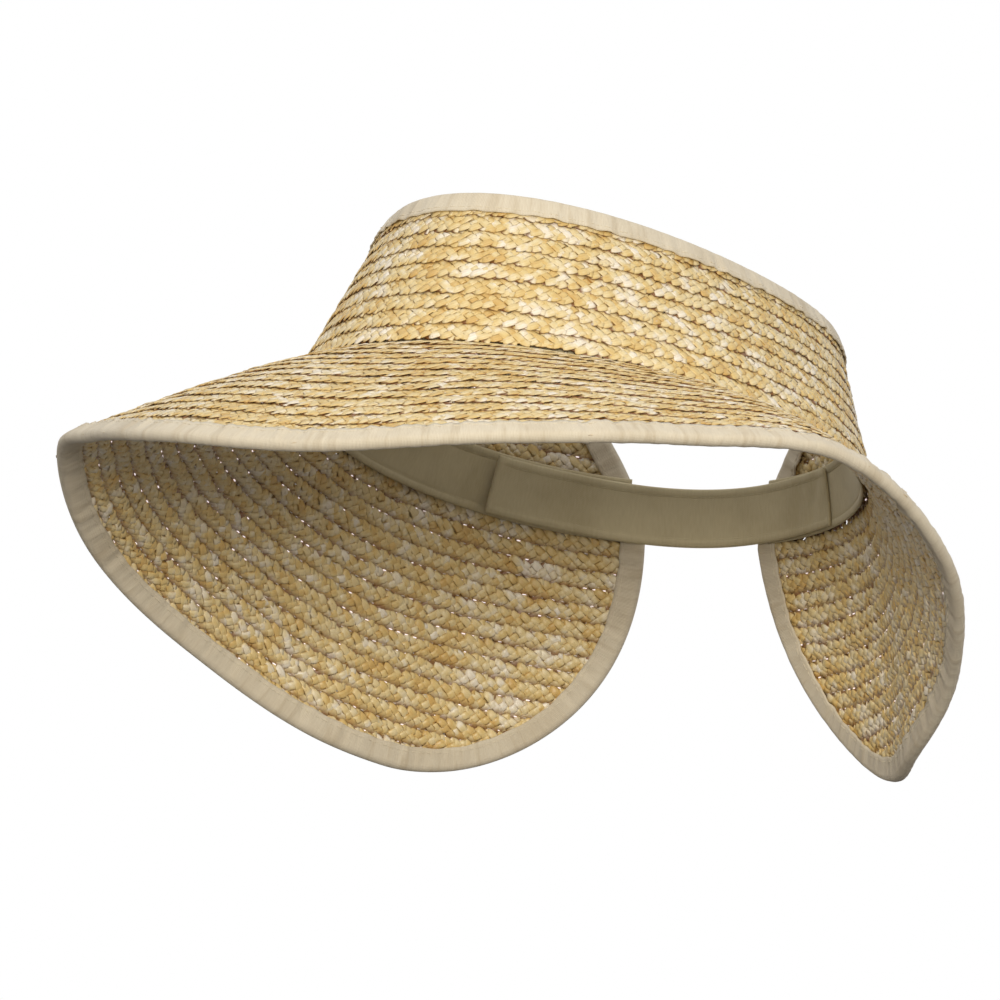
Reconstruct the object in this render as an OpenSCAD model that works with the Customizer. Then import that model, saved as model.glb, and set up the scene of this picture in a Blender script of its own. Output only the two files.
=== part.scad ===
// Straw sun visor: a sewn-braid open crown and a wide drooping brim, slit at the back.
// The origin is the centre of the head opening. +Z is up, -Y is the front, +X is the wearer's left.
// Turn around the head is an angle: 0 at the front, +90 at the wearer's left, 180 at the back.

/* [Head opening] */
// Length of the head opening, front to back, over the straw
opening_length = 203.5; // [196:0.5:210]
// Width of the head opening over the straw
opening_width = 164; // [158:0.5:170]
// How much wider the opening is behind its middle than in front of it
egg = 0.12; // [0.05:0.01:0.14]
// Rise of the opening's edge at the sides
side_rise = 1.6; // [0:0.1:2.5]

/* [Crown] */
// Height of the crown along its wall
crown_height = 52.5; // [48:0.5:56]
// Braid rows in the crown
crown_rows = 9; // [8:1:10]
// Inward lean of the crown wall, mean of front, sides and back
crown_lean = 18.8; // [14:0.1:20]
// Turn from the back to each side of the crown slit at its top
slit_top_turn = 35; // [20:0.5:38]

/* [Brim] */
// Braid rows in the brim
brim_rows = 15; // [12:1:15]
// Turn from the back to each side of the brim slit at the head opening
slit_turn = 12; // [8:0.5:13]
// Further turn that the rounded back corner sweeps before it meets the outer edge
corner_sweep = 38; // [30:1:44]
// How far the brim's slope departs from its mean at the head and at the edge, at the front
curl = 10; // [4:1:12]

/* [Straw braid] */
// Thickness of the pressed braid
braid_thickness = 1; // [0.8:0.1:1.2]
// How far each row laps over the next one
lap = 1.6; // [1:0.1:2]

/* [Binding] */
// Width of the binding tape on each face
binding_width = 7.5; // [6:0.5:9]
// Thickness of the folded tape
binding_thickness = 0.5; // [0.4:0.1:0.7]

/* [Sweatband and strap] */
// Height of the sweatband tape
band_height = 19.5; // [18:0.5:24]
// Height of the back strap
strap_height = 18; // [15:0.5:20]
// Turn from the front to the strap's sewn end, on the wearer's left
strap_start_turn = 144; // [140:1:148]
// Turn from the front, past the back, to the strap's free end on the wearer's right
strap_end_turn = 225; // [214:1:230]
// How far the strap sags at the slit
strap_sag = 1.2; // [0:0.1:2]

/* [Hidden] */
// Mean slope of the brim in degrees, and its width in millimetres, at each 20 degrees of turn
BRIM_SLOPES = [38.5, 34.5, 30, 24.5, 36.5, 57, 73.5, 73, 68.5, 66];
BRIM_WIDTHS = [85, 82.5, 74, 73, 75.5, 75.5, 80.5, 81, 81, 81];
STATION_TURN = 20;
// Lean added at the front, and taken off where the wall faces front and back
lean_front = 3.7;
lean_sides = 6.1;
// Shape of the crown slit: a higher power keeps it narrow for longer
slit_power = 1.8;
clearance = 0.2;
// How far the straw stops short of the fold of its binding
fold_inset = 1;
crown_foot = 1.2;
// Rings are evenly spaced up to side_turn, and then fitted to the row's own end
side_turn = 126;
side_rings = 24;
end_rings = 10;
outer_gap = 0.25;
inner_gap = 0.45;
cloth_thickness = 0.8;
band_inner = -1.4;
tape_thickness = 0.6;
strap_thickness = 0.9;
hook_face = band_inner - cloth_thickness - 0.2;
loop_face = hook_face - tape_thickness - 0.3;
strap_face = loop_face - tape_thickness - 0.1;
strap_foot = 1.6;
hinge_turn = 150;
hinge_gap = 0.4;
hook_ends = [198, 221];
hook_margin = 2.5;
cloth_steps = 96;
STRAW = [0.85, 0.74, 0.5];
STRAW_DARK = [0.78, 0.66, 0.42];
CREAM = [0.88, 0.84, 0.74];
COTTON = [0.72, 0.66, 0.5];
TAPE = [0.8, 0.76, 0.66];
function two_digits(k) = str(k < 10 ? "0" : "", k);

// ---- The opening, the crown wall and the brim as functions of turn and distance ----

UP = [0, 0, 1];
function base(turn) = [
    opening_width / 2 * sin(turn) * (1 - egg * cos(turn)),
    -opening_length / 2 * cos(turn),
    -side_rise * cos(2 * turn)
];
function outward_raw(turn) = [
    opening_length / 2 * sin(turn),
    -opening_width / 2 * (cos(turn) - egg * cos(2 * turn)),
    0
];
function outward(turn) = outward_raw(turn) / norm(outward_raw(turn));

// A smooth curve through four neighbouring stations
function through(a, b, c, d, f) =
    b + f * (c - a) / 2 + f * f * (a - 2.5 * b + 2 * c - d / 2) + f * f * f * (1.5 * (b - c) + (d - a) / 2);
function station(list, i) = list[i < 0 ? -i : (i > len(list) - 1 ? 2 * (len(list) - 1) - i : i)];
function along(list, turn) =
    let (place = abs(turn > 180 ? 360 - turn : turn) / STATION_TURN, i = floor(place))
    through(station(list, i - 1), station(list, i), station(list, i + 1), station(list, i + 2), place - i);

function lean(turn) = crown_lean + lean_front * cos(turn) - lean_sides * cos(2 * turn);
// A point on the crown wall: up is along the wall, out is away from its inner face
function crown_point(turn, up, out) =
    base(turn)
    + up * (cos(lean(turn)) * UP - sin(lean(turn)) * outward(turn))
    + out * (sin(lean(turn)) * UP + cos(lean(turn)) * outward(turn));

function brim_width(turn) = along(BRIM_WIDTHS, turn);
function brim_curl(turn) = curl * pow(cos(turn / 3), 2);
function brim_slope(turn, share) = along(BRIM_SLOPES, turn) + brim_curl(turn) * (2 * share - 1);
// A point on the brim, whose slope grows evenly from the head to the edge: share is 0 to 1 of its width
function brim_point(turn, share, out) =
    let (
        radius = brim_width(turn) / (brim_curl(turn) * PI / 90),
        first = brim_slope(turn, 0),
        slope = brim_slope(turn, share)
    )
    base(turn)
    + radius * ((sin(slope) - sin(first)) * outward(turn) + (cos(slope) - cos(first)) * UP)
    + out * (sin(slope) * outward(turn) + cos(slope) * UP);

// Turn at which the crown and the brim end, each side of the slit
function crown_end(up) =
    180 - slit_turn - (slit_top_turn - slit_turn) * pow(max(up, 0) / crown_height, slit_power);
function brim_end(share) =
    180 - slit_turn - corner_sweep * (1 - sqrt(1 - pow(min(max(share, 0), 1), 2)));

// ---- Bodies swept through rings of points ----

// Rings all have the same number of points, which turn the same way round the sweep
module sweep(rings) {
    n = len(rings[0]);
    last = len(rings) - 1;
    sides = [for (i = [0 : last - 1], j = [0 : n - 1])
        let (a = i * n + j, b = i * n + (j + 1) % n)
        each [[a, b, a + n], [b, b + n, a + n]]];
    near = [for (j = [1 : n - 2]) [0, j + 1, j]];
    far = [for (j = [1 : n - 2]) [last * n, last * n + j, last * n + j + 1]];
    polyhedron(points = [for (ring = rings) each ring], faces = concat(sides, near, far));
}

// The end caps above are fans, which fold over a U section, so a tape has caps of its own
module sweep_u(rings) {
    n = 8;
    last = len(rings) - 1;
    sides = [for (i = [0 : last - 1], j = [0 : n - 1])
        let (a = i * n + j, b = i * n + (j + 1) % n)
        each [[a, b, a + n], [b, b + n, a + n]]];
    cap = [[0, 1, 6], [0, 6, 7], [1, 2, 5], [1, 5, 6], [2, 3, 4], [2, 4, 5]];
    near = [for (f = cap) [f[0], f[2], f[1]]];
    far = [for (f = cap) [last * n + f[0], last * n + f[1], last * n + f[2]]];
    polyhedron(points = [for (ring = rings) each ring], faces = concat(sides, near, far));
}

// Turn of ring number i, counted from the front, in a row that ends at the turn given
function row_turn(i, end) = sign(i) * (abs(i) <= side_rings
    ? abs(i) * side_turn / side_rings
    : side_turn + (abs(i) - side_rings) * (end - side_turn) / end_rings);
row_rings = side_rings + end_rings;

// ---- Straw ----

crown_pitch = (crown_height - fold_inset - crown_foot - lap) / crown_rows;
// Each row tilts so that its lapping edge clears the face of the next row
crown_lift = (braid_thickness + clearance) * (1 + lap / crown_pitch);
straw_end_turn = 0.8;

// Row 1 is the top one. Its lower edge lies over the upper edge of the row below
module crown_braid(k) {
    top = crown_height - fold_inset - (k - 1) * crown_pitch;
    bottom = top - crown_pitch - lap;
    end_top = crown_end(top) - straw_end_turn;
    end_bottom = crown_end(bottom) - straw_end_turn;
    color(k % 2 == 0 ? STRAW : STRAW_DARK)
        sweep([for (i = [-row_rings : row_rings]) [
            crown_point(row_turn(i, end_top), top, 0),
            crown_point(row_turn(i, end_bottom), bottom, crown_lift),
            crown_point(row_turn(i, end_bottom), bottom, crown_lift + braid_thickness),
            crown_point(row_turn(i, end_top), top, braid_thickness)
        ]]);
}

// Row 1 is the one at the head. Distances along the brim are set for its mean width and scale with it
mean_width = 79;
brim_start = -1;
brim_pitch = (mean_width - fold_inset - brim_start - lap) / brim_rows;
brim_lift = (braid_thickness + clearance) * (1 + lap / brim_pitch);

module brim_braid(k) {
    from = (brim_start + (k - 1) * brim_pitch) / mean_width;
    to = from + (brim_pitch + lap) / mean_width;
    // The ends follow the rounded corner at the same depth inside the fold as the front edge
    end_from = brim_end(from + fold_inset / mean_width) - straw_end_turn;
    end_to = brim_end(to + fold_inset / mean_width) - straw_end_turn;
    color(k % 2 == 0 ? STRAW : STRAW_DARK)
        sweep([for (i = [-row_rings : row_rings]) [
            brim_point(row_turn(i, end_from), from, 0),
            brim_point(row_turn(i, end_to), to, brim_lift),
            brim_point(row_turn(i, end_to), to, brim_lift + braid_thickness),
            brim_point(row_turn(i, end_from), from, braid_thickness)
        ]]);
}

// ---- Binding tape, folded over the raw edges of the straw ----

// One ring of the folded tape: inward runs into the straw, face is away from its inner side
function tape_ring(edge, inward, face) =
    let (
        low = -inner_gap,
        high = crown_lift + braid_thickness + outer_gap,
        t = binding_thickness
    )
    [for (p = [
        [binding_width, low - t], [-t, low - t], [-t, high + t], [binding_width, high + t],
        [binding_width, high], [0, high], [0, low], [binding_width, low]
    ]) edge + p[0] * inward + p[1] * face];

function unit(v) = v / norm(v);

module crown_binding() {
    stop = crown_end(crown_height) - 7.2;
    steps = 44;
    color(CREAM)
        sweep_u([for (i = [0 : steps])
            let (turn = stop * (2 * i / steps - 1))
            tape_ring(
                crown_point(turn, crown_height, 0),
                unit(crown_point(turn, 0, 0) - crown_point(turn, 1, 0)),
                crown_point(turn, 0, 1) - crown_point(turn, 0, 0)
            )]);
}

// The route of the edge binding on the wearer's left, as turn, height on the crown and share of the brim
crown_steps = 8;
tongue_steps = 18;
function left_route() = concat(
    [for (i = [0 : crown_steps - 1]) [crown_height * (1 - i / crown_steps), 0]],
    [for (i = [0 : tongue_steps]) [0, sin(90 * i / tongue_steps)]]
);
function route_point(stop, out) = stop[0] > 0
    ? crown_point(crown_end(stop[0]), stop[0], out)
    : brim_point(brim_end(stop[1]), stop[1], out);
function mirrored(p) = [-p[0], p[1], p[2]];
function whole_route(out) =
    round_the_hat(
        [for (stop = left_route()) route_point(stop, out)],
        [for (i = [-side_rings : side_rings]) brim_point(i * side_turn / side_rings, 1, out)]
    );
// Points on the straw beside the edge, a little further in
function route_inside() =
    round_the_hat(
        [for (stop = left_route()) inside_point(stop)],
        [for (i = [-side_rings : side_rings]) brim_point(i * side_turn / side_rings, 0.95, 0)]
    );
function inside_point(stop) = stop[0] > 0
    ? crown_point(crown_end(stop[0]) - 2, stop[0], 0)
    : brim_point(brim_end(stop[1]) - 2, 0.95 * stop[1], 0);
function round_the_hat(left, front) = concat(
    [for (p = left) mirrored(p)],
    front,
    [for (i = [len(left) - 1 : -1 : 0]) left[i]]
);

module edge_binding() {
    edge = whole_route(0);
    over = whole_route(1);
    inside = route_inside();
    last = len(edge) - 1;
    color(CREAM)
        sweep_u([for (i = [0 : last])
            let (
                face = unit(over[i] - edge[i]),
                ahead = unit(edge[min(i + 1, last)] - edge[max(i - 1, 0)]),
                inward = inside[i] - edge[i]
            )
            tape_ring(edge[i], unit(inward - (inward * ahead) * ahead), face)]);
}

// ---- Cotton tapes inside the crown ----

// A flat band round the inside of the crown, from one turn to another
module inner_band(from, to, low, high, face, thickness, steps, sag = 0) {
    sweep([for (i = [0 : steps])
        let (
            turn = from + (to - from) * i / steps,
            drop = sag * pow(max(0, cos((turn - 180) * 2.5)), 2)
        )
        [
            crown_point(turn, low - drop, face),
            crown_point(turn, high - drop, face),
            crown_point(turn, high - drop, face - thickness),
            crown_point(turn, low - drop, face - thickness)
        ]]);
}

module sweatband() {
    stop = 180 - slit_turn - 1;
    color(COTTON)
        inner_band(-stop, stop, 1, 1 + band_height, band_inner, cloth_thickness, cloth_steps);
}

module hook_tape() {
    color(TAPE)
        inner_band(hook_ends[0], hook_ends[1], strap_foot + hook_margin,
            strap_foot + strap_height - hook_margin, hook_face, tape_thickness, 10);
}

module strap_sewn_end() {
    color(COTTON)
        inner_band(strap_start_turn, hinge_turn - hinge_gap, strap_foot, strap_foot + strap_height,
            strap_face, strap_thickness, 2);
}

module back_strap() {
    color(COTTON)
        inner_band(hinge_turn + hinge_gap, strap_end_turn, strap_foot, strap_foot + strap_height,
            strap_face, strap_thickness, 30, strap_sag);
}

module loop_tape() {
    color(TAPE)
        inner_band(hook_ends[0] - 2, hook_ends[1] + 2, strap_foot + hook_margin,
            strap_foot + strap_height - hook_margin, loop_face, tape_thickness, 10);
}

for (k = [1 : crown_rows])
    crown_braid(k);
for (k = [1 : brim_rows])
    brim_braid(k);
crown_binding();
edge_binding();
sweatband();
hook_tape();
strap_sewn_end();
back_strap();
loop_tape();
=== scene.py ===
import math

import bpy
import numpy as np
from mathutils import Matrix, Vector


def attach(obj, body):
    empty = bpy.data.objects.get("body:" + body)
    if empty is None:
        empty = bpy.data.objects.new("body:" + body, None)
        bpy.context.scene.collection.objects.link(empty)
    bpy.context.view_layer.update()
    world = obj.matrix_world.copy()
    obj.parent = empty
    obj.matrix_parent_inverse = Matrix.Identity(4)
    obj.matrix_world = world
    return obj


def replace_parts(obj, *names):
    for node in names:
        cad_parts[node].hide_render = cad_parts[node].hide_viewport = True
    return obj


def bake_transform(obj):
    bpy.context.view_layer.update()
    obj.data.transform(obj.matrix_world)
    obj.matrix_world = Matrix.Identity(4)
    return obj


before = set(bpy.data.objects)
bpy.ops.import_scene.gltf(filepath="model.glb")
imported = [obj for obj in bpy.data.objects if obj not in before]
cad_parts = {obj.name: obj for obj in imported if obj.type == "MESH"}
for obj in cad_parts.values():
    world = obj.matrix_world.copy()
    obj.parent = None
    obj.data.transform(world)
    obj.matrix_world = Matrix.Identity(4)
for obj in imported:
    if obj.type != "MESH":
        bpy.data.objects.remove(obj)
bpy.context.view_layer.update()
scene = bpy.context.scene
print("frame loaded,", len(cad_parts), "nodes")


# Camera

lens = {"azimuth": 26.28, "elevation": -15.36, "roll": 7.93, "distance": 3.0,
        "across": 0.02088, "up": 0.016, "millimetres": 365.0}


def makeCamera():
    az, el, roll = (math.radians(lens[k]) for k in ("azimuth", "elevation", "roll"))
    back = Vector((math.sin(az) * math.cos(el), -math.cos(az) * math.cos(el), math.sin(el)))
    side = Vector((math.cos(az), math.sin(az), 0))
    over = side.cross(-back)
    right = side * math.cos(roll) + over * math.sin(roll)
    up = over * math.cos(roll) - side * math.sin(roll)
    data = bpy.data.cameras.new("camera")
    data.lens = lens["millimetres"]
    data.clip_end = 20
    camera = bpy.data.objects.new("camera", data)
    turned = Matrix((right, up, back)).transposed().to_4x4()
    turned.translation = back * lens["distance"] - right * lens["across"] - up * lens["up"]
    camera.matrix_world = turned
    scene.collection.objects.link(camera)
    scene.camera = camera


makeCamera()
scene.view_settings.view_transform = "Standard"
print("camera placed")


# Short ways to write node trees

class Wire:
    def __init__(self, graph, socket):
        self.graph, self.socket = graph, socket

    def math(self, operation, first, second=0.0):
        return self.graph.node("ShaderNodeMath", {"operation": operation}, {0: first, 1: second})

    def __add__(self, other):
        return self.math("ADD", self, other)

    __radd__ = __add__

    def __sub__(self, other):
        return self.math("SUBTRACT", self, other)

    def __rsub__(self, other):
        return self.math("SUBTRACT", other, self)

    def __mul__(self, other):
        return self.math("MULTIPLY", self, other)

    __rmul__ = __mul__

    def __truediv__(self, other):
        return self.math("DIVIDE", self, other)

    def __pow__(self, other):
        return self.math("POWER", self, other)

    def sign(self):
        return self.math("SIGN", self)

    def __gt__(self, other):
        return self.math("GREATER_THAN", self, other)

    def out(self, name):
        return Wire(self.graph, self.socket.node.outputs[name])


class Graph:
    def __init__(self, tree):
        self.tree = tree

    def node(self, kind, settings=None, sockets=None, out=0):
        made = self.tree.nodes.new(kind)
        for name, value in (settings or {}).items():
            if name == "stops":
                ramp = made.color_ramp
                while len(ramp.elements) < len(value):
                    ramp.elements.new(1)
                for stop, (place, colour) in zip(ramp.elements, value):
                    stop.position = place
                    stop.color = (*colour, 1)
            else:
                setattr(made, name, value)
        for name, value in (sockets or {}).items():
            if isinstance(value, Wire):
                self.tree.links.new(value.socket, made.inputs[name])
            else:
                made.inputs[name].default_value = value
        return Wire(self, made.outputs[out])


# Finishes

def rgb(red, green, blue):
    return tuple(c / 255 / 12.92 if c < 11 else ((c / 255 + 0.055) / 1.055) ** 2.4
                 for c in (red, green, blue))


class Finish(Graph):
    def __init__(self, name):
        self.material = bpy.data.materials.new(name)
        self.material.use_nodes = True
        super().__init__(self.material.node_tree)
        self.shader = self.tree.nodes["Principled BSDF"]
        self.place = self.node("ShaderNodeTexCoord", out="Object")

    def set(self, name, value):
        if isinstance(value, Wire):
            self.tree.links.new(value.socket, self.shader.inputs[name])
        else:
            self.shader.inputs[name].default_value = value

    def noise(self, vector, scale, detail=2.0, rough=0.5):
        return self.node("ShaderNodeTexNoise", None,
                         {"Vector": vector, "Scale": scale, "Detail": detail, "Roughness": rough})

    def mix(self, share, first, second, blend="MIX"):
        first, second = ((*c, 1) if isinstance(c, tuple) and len(c) == 3 else c for c in (first, second))
        return self.node("ShaderNodeMix", {"data_type": "RGBA", "blend_type": blend},
                         {0: share, 6: first, 7: second}, out=2)

    def ramp(self, value, *stops):
        return self.node("ShaderNodeValToRGB", {"stops": stops}, {0: value})

    def band(self, value, low, high, bottom=0.0, top=1.0):
        return self.node("ShaderNodeMapRange", {"interpolation_type": "SMOOTHSTEP"},
                         {0: value, 1: low, 2: high, 3: bottom, 4: top})

    def attribute(self, name, out="Fac"):
        return self.node("ShaderNodeAttribute", {"attribute_name": name}, out=out)

    def stretched(self, vector, scale):
        return self.node("ShaderNodeMapping", None, {0: vector, 3: scale})

    def bump(self, height, strength, distance):
        self.set("Normal", self.node("ShaderNodeBump", None,
                                     {"Strength": strength, "Distance": distance, "Height": height}))


straw = {"pale": rgb(243, 236, 222), "light": rgb(232, 216, 172), "gold": rgb(224, 199, 137),
         "tan": rgb(212, 176, 106), "brown": rgb(132, 84, 36), "shade": rgb(164, 120, 66),
         "patch": 120.0, "fibre": 5200.0, "roughness": 0.38}


def strawFinish():
    f = Finish("wheat_straw")
    tint = f.attribute("tint")
    hollow = f.attribute("hollow")
    tucked = f.attribute("tucked")
    grain = f.attribute("grain", "Vector")
    # Pale lengths of straw come in short runs, so the tint leans on a slow noise
    moved = f.node("ShaderNodeVectorMath", {"operation": "ADD"}, {0: f.place, 1: f.attribute("row")})
    runs = f.noise(moved, straw["patch"], 3.0, 0.6)
    tone = tint * 0.5 + f.band(runs, 0.38, 0.64) * 0.5
    colour = f.ramp(tone, (0.0, straw["tan"]), (0.3, straw["gold"]),
                    (0.62, straw["light"]), (0.92, straw["pale"]))
    fibres = f.noise(f.stretched(grain, (1.0, 0.05, 1.0)), straw["fibre"], 3.0, 0.65)
    colour = f.mix(f.band(fibres, 0.35, 0.75, 0.0, 0.32), colour, straw["tan"], "MULTIPLY")
    nodes = f.noise(f.place, 900.0, 2.0)
    colour = f.mix(f.band(nodes, 0.66, 0.78, 0.0, 0.35), colour, straw["brown"])
    # Painted shade where a straw dives under another and along its edges
    colour = f.mix(f.band(hollow, 0.28, 0.9, 0.0, 0.8), colour, straw["shade"], "MULTIPLY")
    # Painted shade from the rows lapping above and below, in brown
    colour = f.mix(tucked * 0.9, colour, straw["brown"], "MULTIPLY")
    f.set("Base Color", colour)
    f.set("Roughness", f.band(fibres, 0.2, 0.8, straw["roughness"] - 0.07, straw["roughness"] + 0.14))
    f.set("Coat Weight", 0.2)
    f.set("Coat Roughness", 0.3)
    f.bump(fibres, 0.35, 0.0002)
    return f.material


tape = {"light": rgb(224, 214, 194), "dark": rgb(204, 190, 166), "ribGap": 0.00042, "roughness": 0.82}


def tapeFinish():
    f = Finish("ribbed_tape")
    run = f.attribute("run", "Vector")
    parts = f.node("ShaderNodeSeparateXYZ", None, {0: run}, out="X")
    ribs = f.node("ShaderNodeMath", {"operation": "SINE"}, {0: parts * (2 * math.pi / tape["ribGap"])})
    weave = f.node("ShaderNodeMath", {"operation": "SINE"},
                   {0: parts.out("Y") * (2 * math.pi / tape["ribGap"] * 0.6) + parts * 900.0})
    slubs = f.noise(f.stretched(run, (1.0, 0.12, 1.0)), 2600.0, 3.0, 0.6)
    cloud = f.noise(f.place, 60.0, 3.0)
    puckers = f.noise(f.stretched(run, (1.0, 0.14, 1.0)), 300.0, 2.0, 0.5)
    colour = f.mix(f.band(slubs, 0.3, 0.8, 0.0, 0.5), tape["light"], tape["dark"])
    # Painted shade in the troughs of the puckers
    colour = f.mix(f.band(puckers, 0.48, 0.3, 0.0, 0.3), colour, tape["dark"], "MULTIPLY")
    # Painted shade in the grooves between the ribs
    colour = f.mix(f.band(ribs, -1.0, 0.4, 0.16, 0.0), colour, tape["dark"], "MULTIPLY")
    colour = f.mix(f.band(cloud, 0.45, 0.75, 0.0, 0.22), colour, tape["dark"], "MULTIPLY")
    f.set("Base Color", colour)
    f.set("Roughness", tape["roughness"])
    f.set("Sheen Weight", 0.15)
    f.bump(ribs * 0.6 + weave * 0.15 + slubs * 0.8 + puckers * 12.0, 0.45, 0.00012)
    return f.material


cotton = {"light": rgb(206, 194, 160), "dark": rgb(172, 156, 116), "threadGap": 0.00055, "roughness": 0.9}


def cottonFinish():
    f = Finish("cotton_cloth")
    run = f.attribute("run", "Vector")
    parts = f.node("ShaderNodeSeparateXYZ", None, {0: run}, out="X")
    turns = 2 * math.pi / cotton["threadGap"]
    warp = f.node("ShaderNodeMath", {"operation": "SINE"}, {0: parts * turns})
    weft = f.node("ShaderNodeMath", {"operation": "SINE"}, {0: parts.out("Y") * turns})
    weave = warp * weft
    slubs = f.noise(f.stretched(run, (1.0, 0.2, 1.0)), 1500.0, 4.0, 0.6)
    cloud = f.noise(f.place, 45.0, 3.0)
    colour = f.mix(f.band(slubs, 0.2, 0.85, 0.0, 0.35), cotton["light"], cotton["dark"])
    # Painted shade in the low spots between the threads
    colour = f.mix(f.band(weave, -0.9, 0.2, 0.12, 0.0), colour, cotton["dark"], "MULTIPLY")
    colour = f.mix(f.band(cloud, 0.4, 0.7, 0.0, 0.25), colour, cotton["dark"], "MULTIPLY")
    f.set("Base Color", colour)
    f.set("Roughness", cotton["roughness"])
    f.set("Sheen Weight", 0.2)
    f.bump(weave * 0.5 + slubs * 0.35, 0.35, 0.00012)
    return f.material


def threadFinish(name, colour, roughness, coat, glint=0.0):
    f = Finish(name)
    if glint:
        # About half of the stitches give off some light, where clear thread would glint
        caught = f.band(f.attribute("tint"), 0.5, 0.8)
        f.set("Emission Color", f.mix(caught, (0.0, 0.0, 0.0), rgb(255, 240, 244)))
        f.set("Emission Strength", glint)
    grain = f.attribute("grain", "Vector")
    twist = f.node("ShaderNodeTexWave", {"bands_direction": "DIAGONAL"},
                   {"Vector": grain, "Scale": 900.0, "Distortion": 0.6})
    f.set("Base Color", f.mix(twist * 0.3, colour, tuple(c * 0.6 for c in colour)))
    f.set("Roughness", roughness)
    f.set("Coat Weight", coat)
    f.bump(twist, 0.4, 0.00005)
    return f.material


def pileFinish():
    f = Finish("hook_and_loop_pile")
    tint = f.attribute("tint")
    fuzz = f.noise(f.place, 2500.0, 3.0)
    f.set("Base Color", f.mix(tint * 0.5 + fuzz * 0.3, rgb(222, 212, 190), rgb(188, 174, 144)))
    f.set("Roughness", 0.55)
    f.bump(fuzz, 0.3, 0.0001)
    return f.material


finishes = {
    "straw": strawFinish(),
    "tape": tapeFinish(),
    "cotton": cottonFinish(),
    "nylon": threadFinish("clear_thread", rgb(226, 212, 196), 0.18, 0.6),
    "glinting": threadFinish("glinting_thread", rgb(226, 212, 200), 0.14, 0.8, 0.9),
    "sewing": threadFinish("sewing_thread", rgb(224, 213, 190), 0.6, 0.0),
    "hemming": threadFinish("hemming_thread", cotton["light"], 0.8, 0.0),
    "pile": pileFinish(),
}
print("finishes made")


# The hat's surfaces, by turn around the head and distance from the opening

hat = {"openingLength": 0.2035, "openingWidth": 0.164, "egg": 0.12, "sideRise": 0.0016,
       "crownHeight": 0.0525, "crownRows": 9, "lean": 18.8, "leanFront": 3.7, "leanSides": 6.1,
       "slitTurn": 12.0, "slitTopTurn": 35.0, "slitPower": 1.8, "cornerSweep": 38.0,
       "brimRows": 15, "curl": 10.0, "stationTurn": 20.0,
       "slopes": (38.5, 34.5, 30, 24.5, 36.5, 57, 73.5, 73, 68.5, 66),
       "widths": (0.085, 0.0825, 0.074, 0.073, 0.0755, 0.0755, 0.0805, 0.081, 0.081, 0.081),
       "meanWidth": 0.079, "brimStart": -0.001, "lap": 0.0016, "inset": 0.001, "foot": 0.0012}
up = np.array([0.0, 0.0, 1.0])


def col(values):
    return np.asarray(values, float)[..., None]


def base(turn):
    t = np.radians(turn)
    return np.stack([hat["openingWidth"] / 2 * np.sin(t) * (1 - hat["egg"] * np.cos(t)),
                     -hat["openingLength"] / 2 * np.cos(t),
                     -hat["sideRise"] * np.cos(2 * t)], -1)


def outward(turn):
    t = np.radians(turn)
    way = np.stack([hat["openingLength"] / 2 * np.sin(t),
                    -hat["openingWidth"] / 2 * (np.cos(t) - hat["egg"] * np.cos(2 * t)), 0 * t], -1)
    return way / np.linalg.norm(way, axis=-1, keepdims=True)


def along(values, turn):
    values = np.array(values)
    last = len(values) - 1
    place = np.abs(np.where(turn > 180, 360 - turn, turn)) / hat["stationTurn"]
    i = np.floor(place).astype(int)
    f = place - i
    a, b, c, d = (values[np.where(k > last, 2 * last - k, k)] for k in (np.abs(i - 1), i, i + 1, i + 2))
    return (b + f * (c - a) / 2 + f ** 2 * (a - 2.5 * b + 2 * c - d / 2)
            + f ** 3 * (1.5 * (b - c) + (d - a) / 2))


def crownPoint(turn, height, out):
    t = np.radians(turn)
    lean = np.radians(hat["lean"] + hat["leanFront"] * np.cos(t) - hat["leanSides"] * np.cos(2 * t))
    away = outward(turn)
    return (base(turn) + col(height) * (col(np.cos(lean)) * up - col(np.sin(lean)) * away)
            + col(out) * (col(np.sin(lean)) * up + col(np.cos(lean)) * away))


def brimPoint(turn, share, out):
    curl = hat["curl"] * np.cos(np.radians(turn / 3)) ** 2
    middle = along(hat["slopes"], turn)
    first = np.radians(middle - curl)
    slope = np.radians(middle + curl * (2 * share - 1))
    radius = along(hat["widths"], turn) / (2 * np.radians(curl))
    away = outward(turn)
    return (base(turn)
            + col(radius) * (col(np.sin(slope) - np.sin(first)) * away
                             + col(np.cos(slope) - np.cos(first)) * up)
            + col(out) * (col(np.sin(slope)) * away + col(np.cos(slope)) * up))


def crownEnd(height):
    share = np.maximum(height, 0) / hat["crownHeight"]
    return 180 - hat["slitTurn"] - (hat["slitTopTurn"] - hat["slitTurn"]) * share ** hat["slitPower"]


def brimEnd(share):
    share = np.clip(share, 0, 1)
    return 180 - hat["slitTurn"] - hat["cornerSweep"] * (1 - np.sqrt(1 - share ** 2))


# Meshes and rails

def meshObject(name, points, faces, attributes=(), smooth=True):
    mesh = bpy.data.meshes.new(name)
    mesh.from_pydata([tuple(p) for p in points], [], faces)
    for label, kind, values in attributes:
        layer = mesh.attributes.new(label, kind, "POINT")
        layer.data.foreach_set("vector" if kind == "FLOAT_VECTOR" else "value", np.ravel(values))
    mesh.shade_smooth() if smooth and faces else None
    made = bpy.data.objects.new(name, mesh)
    scene.collection.objects.link(made)
    return made


def lengths(points):
    return np.concatenate([[0], np.cumsum(np.linalg.norm(np.diff(points, axis=0), axis=1))])


def makeRails(name, upper, lower, out):
    facing = [("outward", "FLOAT_VECTOR", np.concatenate([out, out]))]
    made = meshObject(name, np.concatenate([upper, lower]), [], facing)
    total = lengths((upper + lower) / 2)[-1]
    return {"object": made, "stations": len(upper), "total": total}


def evenTurns(pointAt, end, gap=0.0025):
    turns = np.linspace(-end, end, 2001)
    run = lengths(pointAt(turns))
    count = int(run[-1] / gap) + 1
    return np.interp(np.linspace(0, run[-1], count), run, turns)


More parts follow.
